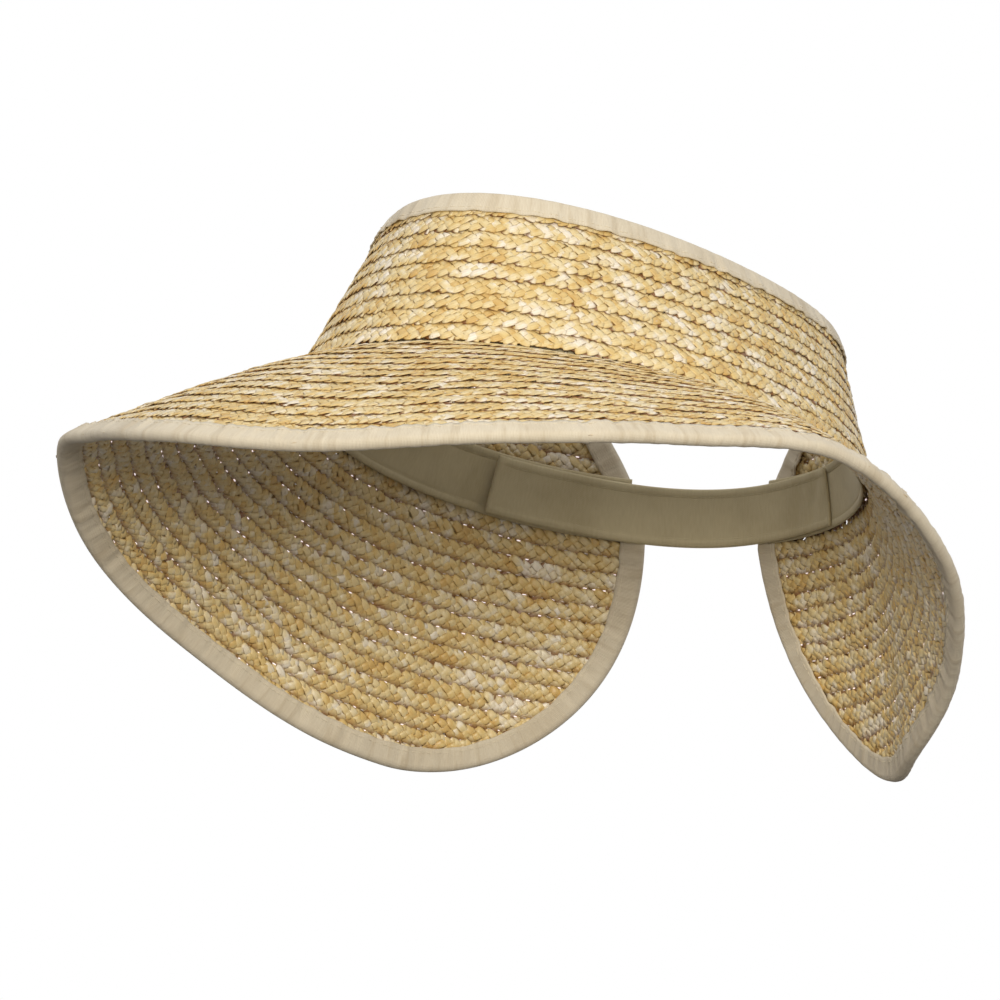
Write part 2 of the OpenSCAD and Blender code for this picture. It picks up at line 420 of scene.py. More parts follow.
def waves(run, random, sizes, spans):
    total = np.zeros(len(run))
    for size, span in zip(sizes, spans):
        total += size * np.sin(run * 2 * math.pi / span * random.uniform(0.85, 1.15) + random.uniform(0, 7))
    return total


# Places geometry made flat, x along the row, y across it and z out of it, onto a pair of rails
def ontoRails(g, flat, rails, stations, total, width):
    place = g.node("GeometryNodeInputPosition")
    parts = g.node("ShaderNodeSeparateXYZ", None, {0: place}, out="X")
    step = g.node("ShaderNodeMath", {"operation": "MULTIPLY", "use_clamp": True}, {0: parts / total, 1: 1.0})
    step = step * (stations - 1.001)
    low = g.node("ShaderNodeMath", {"operation": "FLOOR"}, {0: step})
    rest = step - low
    across = 0.5 - parts.out("Y") / width

    def sample(value, shift):
        return g.node("GeometryNodeSampleIndex", {"data_type": "FLOAT_VECTOR", "domain": "POINT"},
                      {"Geometry": rails, "Value": value, "Index": low + shift})

    def blend(share, first, second):
        return g.node("ShaderNodeMix", {"data_type": "VECTOR", "clamp_factor": False},
                      {0: share, 4: first, 5: second}, out=1)

    railPlace = g.node("GeometryNodeInputPosition")
    railOut = g.node("GeometryNodeInputNamedAttribute", {"data_type": "FLOAT_VECTOR"}, {"Name": "outward"})
    upper = blend(rest, sample(railPlace, 0), sample(railPlace, 1))
    lower = blend(rest, sample(railPlace, stations), sample(railPlace, stations + 1))
    out = blend(rest, sample(railOut, 0), sample(railOut, 1))
    # Pressed flat outside, fuller inside, and each row's bare part rounded
    side = parts.out("Z").sign()
    relief = (plait["outer"] + plait["inner"]) / 2 + side * ((plait["outer"] - plait["inner"]) / 2)
    bare = plait["bare"]
    over = g.node("ShaderNodeClamp", None, {0: (across - (1 - bare)) / bare})
    under = g.node("ShaderNodeClamp", None, {0: across / bare})
    arch = (over * (1 - over) * (side + 1) * (plait["outerArch"] * 2)
            - under * (1 - under) * (1 - side) * (plait["innerArch"] * 2))
    raised = g.node("ShaderNodeVectorMath", {"operation": "SCALE"},
                    {0: out, "Scale": parts.out("Z") * relief + arch})
    where = g.node("ShaderNodeVectorMath", {"operation": "ADD"}, {0: blend(across, upper, lower), 1: raised})
    return g.node("GeometryNodeSetPosition", None, {"Geometry": flat, "Position": where})


def newTree(name, sizes):
    tree = bpy.data.node_groups.new(name, "GeometryNodeTree")
    tree.interface.new_socket("Geometry", in_out="INPUT", socket_type="NodeSocketGeometry")
    for label, kind in sizes.items():
        tree.interface.new_socket(label, in_out="INPUT", socket_type="NodeSocket" + kind)
    tree.interface.new_socket("Geometry", in_out="OUTPUT", socket_type="NodeSocketGeometry")
    g = Graph(tree)
    return g, g.node("NodeGroupInput")


def closeTree(g, geometry, material):
    shaded = g.node("GeometryNodeSetShadeSmooth", None, {"Geometry": geometry})
    done = g.node("GeometryNodeSetMaterial", None, {"Geometry": shaded, "Material": material})
    ending = g.tree.nodes.new("NodeGroupOutput")
    g.tree.links.new(done.socket, ending.inputs[0])
    return g.tree


def grow(host, tree, values, name):
    modifier = host.modifiers.new("grow", "NODES")
    modifier.node_group = tree
    for item in tree.interface.items_tree:
        if item.in_out == "INPUT" and item.name in values:
            modifier[item.identifier] = values[item.name]
    graph = bpy.context.evaluated_depsgraph_get()
    mesh = bpy.data.meshes.new_from_object(host.evaluated_get(graph), preserve_all_data_layers=True,
                                           depsgraph=graph)
    host.modifiers.remove(modifier)
    made = bpy.data.objects.new(name, mesh)
    scene.collection.objects.link(made)
    return made


def discard(*objects):
    for o in objects:
        bpy.data.objects.remove(o, do_unlink=True)


# Plaited straw

plait = {"strands": 5, "pitch": 0.0035, "strawWidth": 0.0027, "strawThick": 0.00044, "swing": 0.00295,
         "rise": 0.00026, "rings": 12, "bow": 0.5, "upperMiddle": 0.0008, "lowerMiddle": 0.0016,
         "outer": 0.72, "inner": 1.4, "outerArch": 0.0002, "innerArch": 0.00065, "bare": 0.75, "seed": 11}


# One straw from edge to edge of the plait, over and under the four that cross it
def strawPiece(name, side):
    steps = plait["rings"]
    reach = plait["strands"] / 2
    a = np.linspace(-0.12, reach + 0.12, steps)
    inside = np.clip(a / reach, 0, 1)
    swing = (1 - plait["bow"]) * (2 * inside - 1) - plait["bow"] * np.cos(math.pi * inside)
    crossing = np.where(a > reach - 0.5, -np.cos(math.pi * (a - reach + 0.5)), -np.cos(2 * math.pi * a))
    height = np.where(a < 0.5, np.sin(math.pi * a), crossing)
    x, y, z = a * plait["pitch"], side * plait["swing"] * swing, plait["rise"] * height
    heading = np.arctan2(np.gradient(y), np.gradient(x))
    narrow = np.minimum(1, 0.62 + 1.5 * np.minimum(inside + 0.05, 1.05 - inside) * 2)
    section = [(-0.5, 0.0), (-0.3, 0.5), (0.3, 0.5), (0.5, 0.0), (0.3, -0.5), (-0.3, -0.5)]
    points, grain, hollow = [], [], []
    for i in range(steps):
        for w, t in section:
            wide = w * plait["strawWidth"] * narrow[i]
            points.append((x[i] - math.sin(heading[i]) * wide, y[i] + math.cos(heading[i]) * wide,
                           z[i] + t * plait["strawThick"] * (1 if abs(w) < 0.5 else 0)))
            grain.append((w * plait["strawWidth"], x[i], t * 0.001))
            # Painted shade, deep where it dives under, and along its own edges
            dive = -height[i] if t > 0 else (height[i] if t < 0 else 0.35)
            hollow.append(max(0.0, 0.35 * dive + (0.55 if w in (-0.5, 0.5) else 0.0)))
    n = len(section)
    faces = [(i * n + j, (i + 1) * n + j, (i + 1) * n + (j + 1) % n, i * n + (j + 1) % n)
             for i in range(steps - 1) for j in range(n)]
    faces += [tuple(range(n)), tuple((steps - 1) * n + j for j in reversed(range(n)))]
    faces = [tuple(reversed(f)) for f in faces]
    return meshObject(name, points, faces, [("grain", "FLOAT_VECTOR", grain), ("hollow", "FLOAT", hollow)])


def plaitTree():
    g, inp = newTree("plait", {"Stations": "Int", "Total": "Float", "Width": "Float", "Lap": "Float",
                               "Units": "Int", "Upper Half": "Float", "Lower Half": "Float", "Seed": "Int",
                               "Rising Straw": "Object", "Falling Straw": "Object", "Finish": "Material"})
    pitch = plait["pitch"]

    def jitter(low, high, shift, kind="FLOAT"):
        first, second, result = (2, 3, 1) if kind == "FLOAT" else (0, 1, 0)
        return g.node("FunctionNodeRandomValue", {"data_type": kind},
                      {first: low, second: high, "Seed": inp.out("Seed") + shift}, out=result)

    runs = []
    for shift, side in ((0, "Rising Straw"), (50, "Falling Straw")):
        start = pitch * (-plait["strands"] / 2 + (0.5 if shift else 0))
        line = g.node("GeometryNodeMeshLine", None,
                      {"Count": inp.out("Units"), "Start Location": (start, 0, 0), "Offset": (pitch, 0, 0)})
        nudged = g.node("GeometryNodeSetPosition", None, {"Geometry": line, "Offset": jitter(
            (-0.00035, -0.00022, -0.0001), (0.00035, 0.00022, 0.0001), shift + 1, "FLOAT_VECTOR")})
        one = g.node("GeometryNodeObjectInfo", {"transform_space": "ORIGINAL"},
                     {"Object": inp.out(side)}, out="Geometry")
        placed = g.node("GeometryNodeInstanceOnPoints", None, {
            "Points": nudged, "Instance": one,
            "Rotation": jitter((-0.06, -0.02, -0.05), (0.06, 0.02, 0.05), shift + 2, "FLOAT_VECTOR"),
            "Scale": jitter((0.97, 0.9, 0.85), (1.03, 1.08, 1.25), shift + 3, "FLOAT_VECTOR")})
        runs.append(g.node("GeometryNodeStoreNamedAttribute", {"data_type": "FLOAT", "domain": "INSTANCE"}, {
            "Geometry": placed, "Name": "tint", "Value": jitter(0.0, 1.0, shift + 4)}))
    joined = g.node("GeometryNodeJoinGeometry", None, {0: runs[0]})
    g.tree.links.new(runs[1].socket, joined.socket.node.inputs[0])
    loose = g.node("GeometryNodeRealizeInstances", None, {0: joined})
    # Straw is painted darker where the next row shades it, outside below the row above and inside above the
    # row below
    spot = g.node("ShaderNodeSeparateXYZ", None, {0: g.node("GeometryNodeInputPosition")}, out="X")
    side = spot.out("Z").sign()
    depth = side * spot.out("Y") / inp.out("Width")
    start = 0.33 + side * 0.1 - inp.out("Lap")
    shade = g.node("ShaderNodeMapRange", {"interpolation_type": "SMOOTHSTEP"},
                   {0: depth, 1: start, 2: 0.5 - inp.out("Lap"), 3: 0.0, 4: 0.8 - side * 0.2})
    shaded = g.node("GeometryNodeStoreNamedAttribute", {"data_type": "FLOAT", "domain": "POINT"},
                    {"Geometry": loose, "Name": "tucked", "Value": shade})
    flat = g.node("GeometryNodeStoreNamedAttribute", {"data_type": "FLOAT", "domain": "POINT"},
                  {"Geometry": shaded, "Name": "row", "Value": inp.out("Seed") * 0.137})
    # The row is cut off where the slit or the rounded corner crosses it, out of sight under the binding
    parts = g.node("ShaderNodeSeparateXYZ", None, {0: g.node("GeometryNodeInputPosition")}, out="X")
    across = 0.5 - parts.out("Y") / inp.out("Width")
    limit = inp.out("Upper Half") + (inp.out("Lower Half") - inp.out("Upper Half")) * across
    gone = g.node("ShaderNodeMath", {"operation": "ABSOLUTE"}, {0: parts - inp.out("Total") * 0.5}) > limit
    kept = g.node("GeometryNodeDeleteGeometry", {"domain": "FACE"}, {"Geometry": flat, "Selection": gone})
    shaped = ontoRails(g, kept, inp, inp.out("Stations"), inp.out("Total"), inp.out("Width"))
    return closeTree(g, shaped, inp.out("Finish"))


crownPitch = (hat["crownHeight"] - hat["inset"] - hat["foot"] - hat["lap"]) / hat["crownRows"]
brimPitch = (hat["meanWidth"] - hat["inset"] - hat["brimStart"] - hat["lap"]) / hat["brimRows"]


# A row's own surface: across runs from 0 at its upper edge to 1 at its lapping edge, out from its middle
def rowLift(across):
    return plait["upperMiddle"] + (plait["lowerMiddle"] - plait["upperMiddle"]) * across


def crownRow(k):
    top = hat["crownHeight"] - hat["inset"] - (k - 1) * crownPitch
    deep = crownPitch + hat["lap"]
    return (lambda turn, across, out: crownPoint(turn, top - across * deep, rowLift(across) + out),
            lambda across: crownEnd(top - across * deep), deep)


def brimRow(k):
    first = (hat["brimStart"] + (k - 1) * brimPitch) / hat["meanWidth"]
    last = k == hat["brimRows"]
    deep = (brimPitch + hat["lap"] - (0.0006 if last else 0.0)) / hat["meanWidth"]
    return (lambda turn, across, out: brimPoint(turn, first + across * deep, rowLift(across) + out),
            lambda across: brimEnd(first + across * deep + hat["inset"] / hat["meanWidth"]),
            deep * hat["meanWidth"])


def rowRails(name, pointAt, endAt, seed):
    ends = endAt(np.array([0.0, 1.0]))
    reach = float(ends.max()) + 2.5
    turns = evenTurns(lambda t: pointAt(t, 0.5 + 0 * t, 0 * t), reach)
    half = len(turns) / 2
    random = np.random.default_rng(seed)
    centre = pointAt(turns, 0.5 + 0 * turns, 0 * turns)
    run = lengths(centre)
    sway = waves(run, random, (0.018, 0.012, 0.008), (0.09, 0.037, 0.019))
    bulge = waves(run, random, (0.00010, 0.00006), (0.06, 0.023))
    upper = pointAt(turns, sway, bulge)
    lower = pointAt(turns, 1 + sway, bulge)
    out = pointAt(turns, 0.5 + 0 * turns, 0.001 + 0 * turns) - centre
    out /= np.linalg.norm(out, axis=1, keepdims=True)
    rails = makeRails(name, upper, lower, out)
    # How far from the front the row runs, at each of its edges
    whole = np.interp(ends - 1.6, turns[int(half):], run[int(half):]) - run[-1] / 2
    rails.update(run=run, upperHalf=float(whole[0]), lowerHalf=float(whole[1]), turns=turns, sway=sway)
    return rails


rising = strawPiece("rising_straw", 1)
falling = strawPiece("falling_straw", -1)
plaitNodes = plaitTree()


def makeRow(name, row, number):
    pointAt, endAt, deep = row(number)
    rails = rowRails(name + "_rails", pointAt, endAt, plait["seed"] + 31 * number + len(name))
    units = int(rails["total"] / plait["pitch"]) + 4
    made = grow(rails["object"], plaitNodes, {
        "Stations": rails["stations"], "Total": rails["total"], "Width": deep, "Units": units,
        "Lap": hat["lap"] / deep,
        "Upper Half": rails["upperHalf"], "Lower Half": rails["lowerHalf"],
        "Seed": plait["seed"] + 100 * number + len(name),
        "Rising Straw": rising, "Falling Straw": falling, "Finish": finishes["straw"]}, name)
    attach(made, "visor")
    return made, rails


rows = {}
for kind, row, count in (("crown", crownRow, hat["crownRows"]), ("brim", brimRow, hat["brimRows"])):
    for number in range(1, count + 1):
        node = f"{kind}_braid_{number:02d}"
        made, rails = makeRow(f"{kind}_plait_{number:02d}", row, number)
        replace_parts(made, node)
        rows[node] = (made, rails)
print("plaited", len(rows), "rows,", sum(len(m.data.polygons) for m, _ in rows.values()), "faces")
discard(rising, falling)


# Stitches

stitch = {"rowGap": 0.003, "rowLength": 0.0013, "rowThick": 0.00042,
          "outerGap": 0.0045, "outerLength": 0.0006, "outerThick": 0.00022,
          "tapeGap": 0.0028, "tapeLength": 0.0022, "tapeThick": 0.0003,
          "hemThick": 0.00018, "sides": 5, "seed": 5}


# A stitch lies along z, thickest at its middle
def stitchShape(name, length, thick):
    points, grain, faces = [], [], []
    places = [(-0.5, 0.3), (-0.42, 0.8), (-0.2, 1.0), (0.2, 1.0), (0.42, 0.8), (0.5, 0.3)]
    n = stitch["sides"]
    for z, wide in places:
        for j in range(n):
            angle = 2 * math.pi * j / n
            points.append((math.cos(angle) * wide * thick / 2, math.sin(angle) * wide * thick / 2,
                           z * length))
            grain.append((angle * thick, z * length, 0.0))
    for i in range(len(places) - 1):
        for j in range(n):
            faces.append((i * n + j, i * n + (j + 1) % n, (i + 1) * n + (j + 1) % n, (i + 1) * n + j))
    faces += [tuple(reversed(range(n))), tuple((len(places) - 1) * n + j for j in range(n))]
    return meshObject(name, points, faces, [("grain", "FLOAT_VECTOR", grain)])


def stitchTree():
    g, inp = newTree("stitches", {"Gap": "Float", "Seed": "Int", "Stitch": "Object", "Finish": "Material"})
    line = g.node("GeometryNodeMeshToCurve", None, {0: inp})
    spots = g.node("GeometryNodeCurveToPoints", {"mode": "LENGTH"}, {"Curve": line, "Length": inp.out("Gap")})
    one = g.node("GeometryNodeObjectInfo", {"transform_space": "ORIGINAL"},
                 {"Object": inp.out("Stitch")}, out="Geometry")
    size = g.node("FunctionNodeRandomValue", {"data_type": "FLOAT_VECTOR"},
                  {0: (0.85, 0.85, 0.9), 1: (1.1, 1.1, 1.1), "Seed": inp.out("Seed")})
    placed = g.node("GeometryNodeInstanceOnPoints", None, {
        "Points": spots, "Instance": one, "Rotation": spots.out("Rotation"), "Scale": size})
    chance = g.node("FunctionNodeRandomValue", {"data_type": "FLOAT"},
                    {2: 0.0, 3: 1.0, "Seed": inp.out("Seed") + 9}, out=1)
    tinted = g.node("GeometryNodeStoreNamedAttribute", {"data_type": "FLOAT", "domain": "INSTANCE"},
                    {"Geometry": placed, "Name": "tint", "Value": chance})
    return closeTree(g, g.node("GeometryNodeRealizeInstances", None, {0: tinted}), inp.out("Finish"))


stitchNodes = stitchTree()


def sewAlong(name, lines, gap, length, thick, finish, body, seed):
    points = np.concatenate(lines)
    edges, first = [], 0
    for line in lines:
        edges += [(first + i, first + i + 1) for i in range(len(line) - 1)]
        first += len(line)
    mesh = bpy.data.meshes.new(name + "_line")
    mesh.from_pydata([tuple(p) for p in points], edges, [])
    host = bpy.data.objects.new(name + "_line", mesh)
    scene.collection.objects.link(host)
    one = stitchShape(name + "_one", length, thick)
    made = grow(host, stitchNodes, {"Gap": gap, "Seed": stitch["seed"] + seed, "Stitch": one,
                                    "Finish": finishes[finish]}, name)
    discard(host, one)
    if body:
        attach(made, body)
    return made


def sewRows(kind, row, count):
    under, over = [], []
    for number in range(1, count + 1):
        rails = rows[f"{kind}_braid_{number:02d}"][1]
        pointAt, endAt, deep = row(number)
        half = plait["rise"] + plait["strawThick"] / 2
        # Inside the thread shows beside the next row's edge, and outside just above this row's own
        for lines, across, out in ((under, 0.72, -half * plait["inner"] + 0.00002),
                                   (over, 0.86, half * plait["outer"] - 0.00002)):
            end = float(endAt(np.array([across]))[0]) - 3
            turns = rails["turns"][np.abs(rails["turns"]) < end]
            place = across + np.interp(turns, rails["turns"], rails["sway"])
            lines.append(pointAt(turns, place, out + 0 * turns))
    sewAlong(f"{kind}_thread_inside", under, stitch["rowGap"], stitch["rowLength"],
             stitch["rowThick"], "glinting", "visor", 1)
    sewAlong(f"{kind}_thread_outside", over, stitch["outerGap"], stitch["outerLength"],
             stitch["outerThick"], "nylon", "visor", 2)


sewRows("crown", crownRow, hat["crownRows"])
sewRows("brim", brimRow, hat["brimRows"])
for made, rails in rows.values():
    discard(rails["object"])
print("rows sewn")


# Binding tape, folded over the raw edges

binding = {"width": 0.0072, "thick": 0.00036, "gap": 0.0014, "pucker": 0.00045, "lip": 0.00022,
           "stitchIn": 0.0015}


def unit(vectors):
    return vectors / np.linalg.norm(vectors, axis=-1, keepdims=True)


def evenly(line, *others, gap):
    run = lengths(line)
    places = np.linspace(0, run[-1], int(run[-1] / gap) + 1)
    return places, [np.stack([np.interp(places, run, a[:, k]) for k in range(3)], 1) for a in (line, *others)]


def eased(values, reach=4):
    padded = np.concatenate([values[:1].repeat(reach, 0), values, values[-1:].repeat(reach, 0)])
    window = np.ones(2 * reach + 1) / (2 * reach + 1)
    return np.stack([np.convolve(padded[:, k], window, "valid") for k in range(3)], 1)


# Section of the folded tape's middle line, as inward, face and distance along the tape from its lower lip
def foldLine(low, high, lipHigh):
    width, r = binding["width"], (high - low) / 2
    places = [(width * k, low) for k in (1.0, 0.86, 0.72, 0.5, 0.28)]
    for angle in np.linspace(-90, 90, 9):
        a = math.radians(angle)
        places.append((r - r * math.cos(a), (low + high) / 2 + r * math.sin(a)))
    places += [(width * k, high + (lipHigh - high) * k) for k in (0.28, 0.5, 0.72, 0.86, 1.0)]
    places = np.array(places)
    return places, np.concatenate([[0], np.cumsum(np.linalg.norm(np.diff(places, axis=0), axis=1))])


# The tape follows an edge, with a line just outside the straw there and one on the straw further in
def bindEdge(name, edge, over, within, low, high, lipHigh, seed):
    run, (edge, over, within) = evenly(edge, over, within, gap=binding["gap"])
    face = unit(eased(unit(over - edge)))
    ahead = unit(eased(unit(np.gradient(edge, axis=0))))
    inward = within - edge
    inward = unit(eased(unit(inward - (inward * ahead).sum(1)[:, None] * ahead)))
    random = np.random.default_rng(seed)
    middle, across = foldLine(low, high, lipHigh)
    tangent = unit(np.gradient(middle, axis=0))
    normal = np.stack([tangent[:, 1], -tangent[:, 0]], 1)
    loop = [(j, 0.5) for j in range(len(middle))] + [(j, -0.5) for j in reversed(range(len(middle)))]
    low1, low2 = (waves(run, random, (0.6, 0.5, 0.4), (0.0052, 0.0083, 0.0145)) for _ in range(2))
    lip = waves(run, random, (0.6, 0.5), (0.011, 0.031))
    slack = waves(run, random, (0.5, 0.5), (0.05, 0.021)) * 0.5 + 0.8
    points, runs = [], []
    for j, side in loop:
        p0, p1 = middle[j] + normal[j] * side * binding["thick"]
        share = min(1.0, middle[j][0] / binding["width"])
        ripple = (low1 if j < len(middle) / 2 else low2) * slack * binding["pucker"] * share ** 0.7
        lipShift = lip * binding["lip"] * share ** 3
        points.append(edge + inward * (p0 + lipShift)[:, None] + face * (p1 + ripple)[:, None])
        runs.append(np.stack([run, across[j] + 0 * run, 0 * run], 1))
    points, runs = np.stack(points, 1), np.stack(runs, 1)
    count, n = points.shape[:2]
    faces = [(i * n + j, (i + 1) * n + j, (i + 1) * n + (j + 1) % n, i * n + (j + 1) % n)
             for i in range(count - 1) for j in range(n)]
    half = n // 2
    for i, turned in ((0, False), (count - 1, True)):
        for j in range(half - 1):
            cap = (i * n + j, i * n + j + 1, i * n + n - 2 - j, i * n + n - 1 - j)
            faces.append(tuple(reversed(cap)) if turned else cap)
    made = meshObject(name, points.reshape(-1, 3), faces, [("run", "FLOAT_VECTOR", runs.reshape(-1, 3))])
    made.data.materials.append(finishes["tape"])
    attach(made, "visor")
    inset = binding["width"] - binding["stitchIn"]
    lines = []
    for level, ripple in ((low - binding["thick"] / 2, low1),
                          (high + (lipHigh - high) * inset / binding["width"] + binding["thick"] / 2, low2)):
        depth = level + ripple * slack * binding["pucker"] * 0.85
        lines.append(edge + inward * inset + face * depth[:, None])
    sewAlong(name + "_stitching", [line[3:-3] for line in lines], stitch["tapeGap"], stitch["tapeLength"],
             stitch["tapeThick"], "sewing", "visor", seed)
    return made


def crownTopEdge():
    stop = crownEnd(np.array(hat["crownHeight"])) - 0.8
    turns = np.linspace(stop, -stop, 1200)
    height = hat["crownHeight"] + 0 * turns
    return (crownPoint(turns, height, 0 * turns), crownPoint(turns, height, 0.001 + 0 * turns),
            crownPoint(turns, height - 0.003, 0 * turns))


def brimEdge():
    heights = np.linspace(hat["crownHeight"], 0, 120)[:-1]
    shares = np.sin(np.linspace(0, math.pi / 2, 300))[:-1]
    corner = brimEnd(np.array(1.0))
    sweeps = np.linspace(corner, -corner, 1400)
    lines = []
    for out, back, share in ((0.0, 0.0, 1.0), (0.001, 0.0, 1.0), (0.0, 2.0, 0.95)):
        left = np.concatenate([crownPoint(crownEnd(heights) - back, heights, out + 0 * heights),
                               brimPoint(brimEnd(shares) - back, shares * share, out + 0 * shares)])
        front = brimPoint(sweeps, share + 0 * sweeps, out + 0 * sweeps)
        right = left[::-1] * (-1, 1, 1)
        lines.append(np.concatenate([left, front, right])[::-1])
    return lines


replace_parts(bindEdge("crown_edge_tape", *crownTopEdge(), -0.0007, 0.0018, 0.0026, 21), "crown_binding")
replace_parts(bindEdge("brim_edge_tape", *brimEdge(), -0.0011, 0.0024, 0.0026, 22), "edge_binding")
print("edges bound")


# Cotton sweatband and back strap

cloth = {"bandLow": 0.001, "bandHigh": 0.0205, "bandFace": -0.0014, "bandThick": 0.0006, "bandEnd": 164.5,
         "strapLow": 0.0016, "strapHigh": 0.0196, "strapFace": -0.004, "strapThick": 0.0008,
         "strapStart": 144.0, "strapEnd": 225.0, "hinge": 150.0, "sag": 0.0012, "hem": 0.0026,
         "hookFace": -0.0024, "loopFace": -0.0033, "tapeThick": 0.0005, "hookFrom": 198.0, "hookTo": 221.0,
         "hookMargin": 0.0025, "hookDensity": 700000.0, "loopDensity": 1100000.0}


def slab(name, front, back, attributes=(), finish=None):
    n, m = front.shape[:2]
    points = np.concatenate([front.reshape(-1, 3), back.reshape(-1, 3)])
    shift = n * m
    faces = []
    for i in range(n - 1):
        for j in range(m - 1):
            a, b, c, d = i * m + j, i * m + j + 1, (i + 1) * m + j + 1, (i + 1) * m + j
            faces += [(a, b, c, d), (shift + d, shift + c, shift + b, shift + a)]
    for i in range(n - 1):
        for j in (0, m - 1):
            a, d = i * m + j, (i + 1) * m + j
            side = (a, d, shift + d, shift + a)
            faces.append(side if j == 0 else tuple(reversed(side)))
    for j in range(m - 1):
        for i in (0, n - 1):
            a, b = i * m + j, i * m + j + 1
            side = (a, shift + a, shift + b, b)
            faces.append(side if i == 0 else tuple(reversed(side)))
    made = meshObject(name, points, faces, attributes)
    if finish:
        made.data.materials.append(finishes[finish])
    return made


# A band of cloth round the inside of the crown, with hems, as its inner and outer faces
def clothFaces(turns, low, high, face, thick, drop, ripple, hemEnds=()):
    hem = cloth["hem"]
    height = high - low
    steps = np.unique(np.concatenate([[0, 0.0002, 0.0006, hem - 0.0004, hem, hem + 0.0004],
                                      np.linspace(hem + 0.001, height - hem - 0.001, 12),
                                      [height - hem - 0.0004, height - hem, height - hem + 0.0004],
                                      [height - 0.0006, height - 0.0002, height]]))
    t, y = np.meshgrid(turns, steps, indexing="ij")
    run = lengths(crownPoint(turns, low + 0 * turns, face + 0 * turns))
    edge = np.minimum(y, height - y)
    fold = np.where(edge < hem, 0.00018, 0.0) - 0.00014 * np.exp(-((edge - hem) / 0.00035) ** 2)
    roundOff = np.sqrt(np.clip(edge / 0.0006, 0, 1))
    for at in hemEnds:
        gap = np.abs(np.interp(at, turns, run) - run)[:, None] + 0 * y
        fold = np.maximum(fold, np.where(gap < hem, 0.0002, 0))
        fold = fold - 0.00014 * np.exp(-((gap - hem) / 0.0004) ** 2)
    z = low + y - drop(t)
    shift = ripple(run[:, None] + 0 * y, y / height, t)
    inner = crownPoint(t, z, face + 0 * t - thick * (0.5 + 0.5 * roundOff) - fold * roundOff + shift)
    outer = crownPoint(t, z, face + 0 * t - thick * (0.5 - 0.5 * roundOff) + shift)
    runs = np.stack([run[:, None] + 0 * y, y, 0 * y], -1)
    return inner, outer, runs, run


def evenBand(start, stop, gap):
    turns = np.linspace(start, stop, 1500)
    run = lengths(crownPoint(turns, 0.01 + 0 * turns, -0.003 + 0 * turns))
    return np.interp(np.linspace(0, run[-1], int(run[-1] / gap) + 1), run, turns)


def noDrop(turn):
    return 0 * turn


def strapDrop(turn):
    return cloth["sag"] * np.maximum(0, np.cos(np.radians((turn - 180) * 2.5))) ** 2


def makeSweatband():
    def ripple(run, height, turn):
        # Slack gathers beside the strap's lap and where the band was eased round the head
        lap = np.exp(-((turn + 132) / 5) ** 2)
        return (0.00012 * np.sin(run * 210 + 2 * np.sin(run * 31)) * np.sin(math.pi * height)
                + 0.0004 * lap * np.sin(run * 700 + height * 5) * (1 - height))

    turns = evenBand(-cloth["bandEnd"], cloth["bandEnd"], 0.0016)
    inner, outer, runs, run = clothFaces(turns, cloth["bandLow"], cloth["bandHigh"], cloth["bandFace"],
                                         cloth["bandThick"], noDrop, ripple)
    both = np.concatenate([runs.reshape(-1, 3), runs.reshape(-1, 3)])
    made = slab("cotton_sweatband", inner, outer, [("run", "FLOAT_VECTOR", both)], "cotton")
    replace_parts(made, "sweatband")
    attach(made, "visor")
    hem = cloth["hem"]
    level = cloth["bandFace"] - cloth["bandThick"] - 0.00003 + 0 * turns
    lines = [crownPoint(turns, height + 0 * turns, level)[4:-4]
             for height in (cloth["bandLow"] + hem, cloth["bandHigh"] - hem)]
    sewing = sewAlong("sweatband_stitching", lines, stitch["tapeGap"], stitch["tapeLength"],
                      stitch["hemThick"], "hemming", "visor", 31)
    print("sweatband", round(float(run[-1]), 4), "m long")


def makeStrap():
    def ripple(run, height, turn):
        sewn = np.clip((160 - turn) / 16, 0, 1)
        free = np.clip((turn - 205) / 20, 0, 1)
        return (sewn ** 2 * 0.0014 + 0.00016 * np.sin(run * 160 + 2 * height)
                + 0.0003 * free * np.sin(run * 520 + height * 6) * (1 - height) * (turn < 221)
                + 0.00025 * sewn * np.sin(run * 800 + height * 4))

    turns = evenBand(cloth["strapStart"], cloth["strapEnd"], 0.0011)
    inner, outer, runs, run = clothFaces(turns, cloth["strapLow"], cloth["strapHigh"], cloth["strapFace"],
                                         cloth["strapThick"], strapDrop, ripple, (cloth["strapEnd"],))
    both = np.concatenate([runs.reshape(-1, 3), runs.reshape(-1, 3)])
    made = slab("cotton_strap", inner, outer, [("run", "FLOAT_VECTOR", both)], "cotton")
    hem = cloth["hem"]
    lines = []
    for height in (cloth["strapLow"] + hem, cloth["strapHigh"] - hem):
        shift = ripple(run, (height - cloth["strapLow"]) / (cloth["strapHigh"] - cloth["strapLow"]), turns)
        lines.append(crownPoint(turns, height - strapDrop(turns),
                                cloth["strapFace"] - cloth["strapThick"] - 0.00003 + shift)[3:-6])
    sewing = sewAlong("strap_stitching", lines, stitch["tapeGap"], stitch["tapeLength"],
                      stitch["hemThick"], "hemming", None, 32)
    for piece in (made, sewing):
        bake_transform(piece)
    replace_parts(made, "strap_sewn_end", "back_strap")
    print("strap", round(float(run[-1]), 4), "m long")


makeSweatband()
makeStrap()


# Hook and loop tapes

